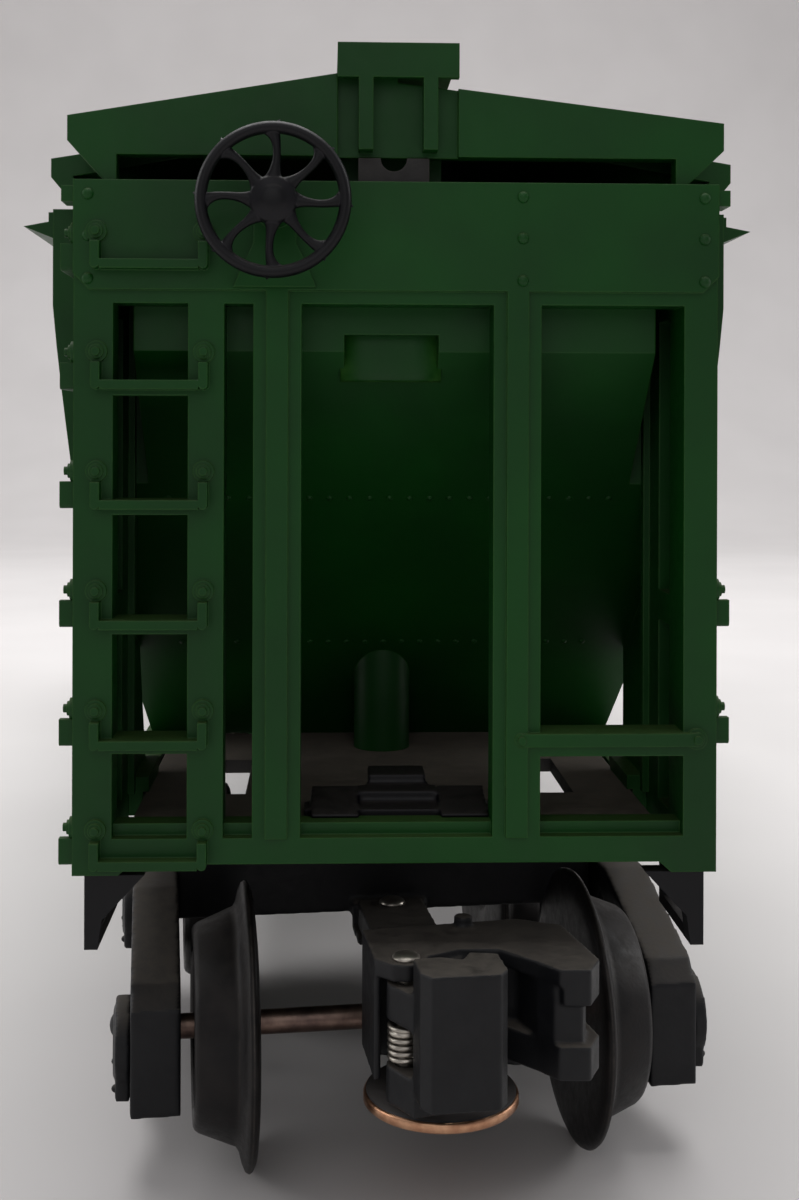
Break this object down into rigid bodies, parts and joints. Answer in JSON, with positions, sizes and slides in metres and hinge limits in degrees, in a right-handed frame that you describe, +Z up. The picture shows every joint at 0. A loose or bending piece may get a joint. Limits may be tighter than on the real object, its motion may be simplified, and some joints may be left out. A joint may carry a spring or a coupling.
{
  "type": "model railway covered hopper wagon",
  "caption": "O gauge covered hopper wagon with sloped ends, roof hatches, bottom outlets, swivelling trucks and knuckle couplers.",
  "frame": {"origin": "on the rails' centre line under the middle of the wagon, level with the lowest point of the wheel flanges", "axes": "+X across, to the right when looking at the brake end; +Y along the wagon, away from the brake end; +Z up"},
  "size_m": [0.062, 0.2784, 0.0896],
  "materials": {
    "green_plastic": "satin moulded green plastic",
    "black_plastic": "moulded black acetal",
    "black_casting": "die-cast zinc, chemically blackened",
    "wheel_metal": "sintered iron, blackened, polished treads",
    "bright_steel": "nickel-plated steel",
    "frame_metal": "die-cast frame, dull dark finish",
    "copper_disk": "steel disk with a copper-coloured plated rim"
  },
  "bodies": {
    "wagon_body": {"hopper_body": "green_plastic", "front_end_frame": "green_plastic", "rear_end_frame": "green_plastic", "roof_cover": "green_plastic", "running_board": "green_plastic", "roof_latch_tabs": "frame_metal", "underframe": "frame_metal", "sill_steps": "black_plastic", "front_striker": "black_plastic", "rear_striker": "black_plastic", "outlet_chutes": "green_plastic", "ballast_weight": "bright_steel", "body_screws": "bright_steel", "brake_housing": "green_plastic", "front_pivot_screw": "bright_steel", "rear_pivot_screw": "bright_steel"},
    "brake_wheel": {"brake_wheel": "black_plastic"},
    "hatch_left_1": {"hatch_left_1": "green_plastic"},
    "hatch_left_2": {"hatch_left_2": "green_plastic"},
    "hatch_left_3": {"hatch_left_3": "green_plastic"},
    "hatch_right_1": {"hatch_right_1": "green_plastic"},
    "hatch_right_2": {"hatch_right_2": "green_plastic"},
    "hatch_right_3": {"hatch_right_3": "green_plastic"},
    "outlet_gate_1": {"outlet_gate_1": "frame_metal"},
    "outlet_gate_2": {"outlet_gate_2": "frame_metal"},
    "outlet_gate_3": {"outlet_gate_3": "frame_metal"},
    "front_truck": {"front_bolster": "black_casting", "front_side_frames": "black_casting", "front_bearing_caps": "black_casting", "front_truck_springs": "black_casting", "front_coupler_head": "black_casting", "front_coupler_rivets": "bright_steel", "front_knuckle_pin": "bright_steel", "front_knuckle_spring": "bright_steel"},
    "front_lead_wheelset": {"front_lead_axle": "bright_steel", "front_lead_wheels": "wheel_metal"},
    "front_trail_wheelset": {"front_trail_axle": "bright_steel", "front_trail_wheels": "wheel_metal"},
    "front_knuckle": {"front_knuckle": "black_casting"},
    "front_uncoupler": {"front_uncoupler": "copper_disk"},
    "rear_truck": {"rear_bolster": "black_casting", "rear_side_frames": "black_casting", "rear_bearing_caps": "black_casting", "rear_truck_springs": "black_casting", "rear_coupler_head": "black_casting", "rear_coupler_rivets": "bright_steel", "rear_knuckle_pin": "bright_steel", "rear_knuckle_spring": "bright_steel"},
    "rear_lead_wheelset": {"rear_lead_axle": "bright_steel", "rear_lead_wheels": "wheel_metal"},
    "rear_trail_wheelset": {"rear_trail_axle": "bright_steel", "rear_trail_wheels": "wheel_metal"},
    "rear_knuckle": {"rear_knuckle": "black_casting"},
    "rear_uncoupler": {"rear_uncoupler": "copper_disk"}
  },
  "joints": [
    {"name": "brake_wheel_turn", "type": "hinge", "parent": "wagon_body", "child": "brake_wheel", "pos_m": [-0.00925, -0.135, 0.0769], "axis": [0, 1, 0], "continuous": true},
    {"name": "hatch_left_1_hinge", "type": "hinge", "parent": "wagon_body", "child": "hatch_left_1", "pos_m": [-0.02493, -0.09514, 0.08375], "axis": [0, -1, 0], "range_deg": [0, 100]},
    {"name": "hatch_left_2_hinge", "type": "hinge", "parent": "wagon_body", "child": "hatch_left_2", "pos_m": [-0.02493, -0.01748, 0.08375], "axis": [0, -1, 0], "range_deg": [0, 100]},
    {"name": "hatch_left_3_hinge", "type": "hinge", "parent": "wagon_body", "child": "hatch_left_3", "pos_m": [-0.02493, 0.06019, 0.08375], "axis": [0, -1, 0], "range_deg": [0, 100]},
    {"name": "hatch_right_1_hinge", "type": "hinge", "parent": "wagon_body", "child": "hatch_right_1", "pos_m": [0.02493, -0.06019, 0.08375], "axis": [0, 1, 0], "range_deg": [0, 100]},
    {"name": "hatch_right_2_hinge", "type": "hinge", "parent": "wagon_body", "child": "hatch_right_2", "pos_m": [0.02493, 0.01748, 0.08375], "axis": [0, 1, 0], "range_deg": [0, 100]},
    {"name": "hatch_right_3_hinge", "type": "hinge", "parent": "wagon_body", "child": "hatch_right_3", "pos_m": [0.02493, 0.09514, 0.08375], "axis": [0, 1, 0], "range_deg": [0, 100]},
    {"name": "outlet_gate_1_slide", "type": "slide", "parent": "wagon_body", "child": "outlet_gate_1", "axis": [1, 0, 0], "range_m": [0, 0.013]},
    {"name": "outlet_gate_2_slide", "type": "slide", "parent": "wagon_body", "child": "outlet_gate_2", "axis": [1, 0, 0], "range_m": [0, 0.013]},
    {"name": "outlet_gate_3_slide", "type": "slide", "parent": "wagon_body", "child": "outlet_gate_3", "axis": [1, 0, 0], "range_m": [0, 0.013]},
    {"name": "front_truck_swivel", "type": "hinge", "parent": "wagon_body", "child": "front_truck", "pos_m": [0, -0.099, 0.02], "axis": [0, 0, 1], "range_deg": [-18.5, 5.5]},
    {"name": "front_lead_wheelset_roll", "type": "hinge", "parent": "front_truck", "child": "front_lead_wheelset", "pos_m": [0.00204, -0.11688, 0.0113], "axis": [0.9936, 0.1132, 0], "continuous": true},
    {"name": "front_trail_wheelset_roll", "type": "hinge", "parent": "front_truck", "child": "front_trail_wheelset", "pos_m": [-0.00204, -0.08112, 0.0113], "axis": [0.9936, 0.1132, 0], "continuous": true},
    {"name": "front_knuckle_hinge", "type": "hinge", "parent": "front_truck", "child": "front_knuckle", "pos_m": [0.00062, -0.13275, 0.0173], "axis": [0, 0, -1], "range_deg": [0, 50]},
    {"name": "front_uncoupler_drop", "type": "slide", "parent": "front_truck", "child": "front_uncoupler", "axis": [0, 0, -1], "range_m": [0, 0.0015], "stiffness_N_per_m": 20, "springref_m": -0.0008},
    {"name": "rear_truck_swivel", "type": "hinge", "parent": "wagon_body", "child": "rear_truck", "pos_m": [0, 0.099, 0.02], "axis": [0, 0, 1], "range_deg": [-12, 12]},
    {"name": "rear_lead_wheelset_roll", "type": "hinge", "parent": "rear_truck", "child": "rear_lead_wheelset", "pos_m": [0, 0.117, 0.0113], "axis": [-1, 0, 0], "continuous": true},
    {"name": "rear_trail_wheelset_roll", "type": "hinge", "parent": "rear_truck", "child": "rear_trail_wheelset", "pos_m": [0, 0.081, 0.0113], "axis": [-1, 0, 0], "continuous": true},
    {"name": "rear_knuckle_hinge", "type": "hinge", "parent": "rear_truck", "child": "rear_knuckle", "pos_m": [0.0032, 0.1326, 0.0173], "axis": [0, 0, -1], "range_deg": [0, 50]},
    {"name": "rear_uncoupler_drop", "type": "slide", "parent": "rear_truck", "child": "rear_uncoupler", "axis": [0, 0, -1], "range_m": [0, 0.0015], "stiffness_N_per_m": 20, "springref_m": -0.0008}
  ]
}
